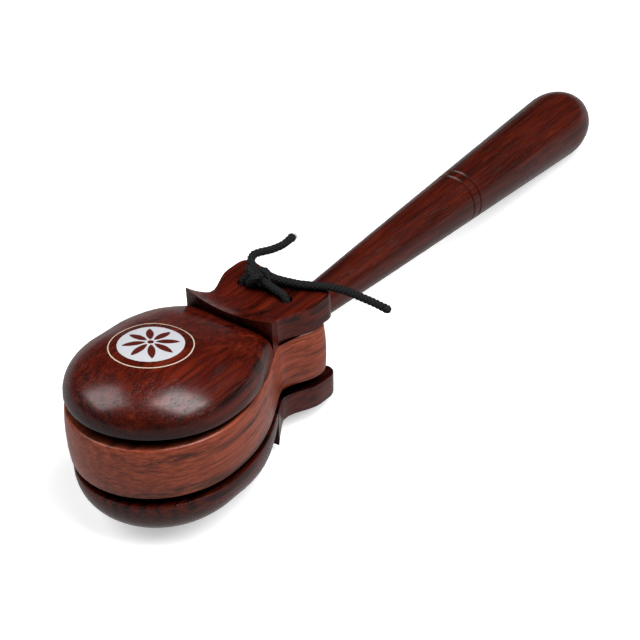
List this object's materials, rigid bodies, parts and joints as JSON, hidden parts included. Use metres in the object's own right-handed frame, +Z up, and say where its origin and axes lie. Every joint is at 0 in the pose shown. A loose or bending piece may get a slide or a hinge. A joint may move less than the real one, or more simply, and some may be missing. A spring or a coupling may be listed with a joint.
{
  "type": "handled castanets",
  "caption": "Pair of domed wooden castanet shells tied with a black cord to a flat centre board on a turned wooden handle.",
  "frame": {"origin": "middle of the object's length, on the centre board's middle plane, midway between the cord holes across the width", "axes": "+Y along the handle towards its rounded end, +X across the board, +Z up through the upper shell"},
  "size_m": [0.0772, 0.3011, 0.0649],
  "materials": {
    "board_wood": "satin, lighter orange-brown with streaks",
    "handle_wood": "satin dark red-brown",
    "shell_wood": "polished dark red-brown",
    "cord": "matte braided"
  },
  "bodies": {
    "paddle": {"board": "board_wood", "handle": "handle_wood", "cord_leg_left": "cord", "cord_leg_right": "cord"},
    "upper_clapper": {"shell_upper": "shell_wood", "cord_top": "cord", "cord_knot": "cord", "cord_tail_back": "cord", "cord_tail_side": "cord"},
    "lower_clapper": {"shell_lower": "shell_wood", "cord_bridge": "cord"}
  },
  "joints": [
    {"name": "upper_rock", "type": "hinge", "parent": "paddle", "child": "upper_clapper", "pos_m": [0, -0.0988, 0.0107], "axis": [1, 0, 0], "range_deg": [0, 4.6], "stiffness_Nm_per_rad": 2.5, "springref_deg": -0.57},
    {"name": "lower_rock", "type": "hinge", "parent": "paddle", "child": "lower_clapper", "pos_m": [0.00063, -0.09879, -0.012], "axis": [-0.9999, -0.0157, 0], "range_deg": [-4, 2.8], "stiffness_Nm_per_rad": 2.5, "springref_deg": 0.26}
  ]
}
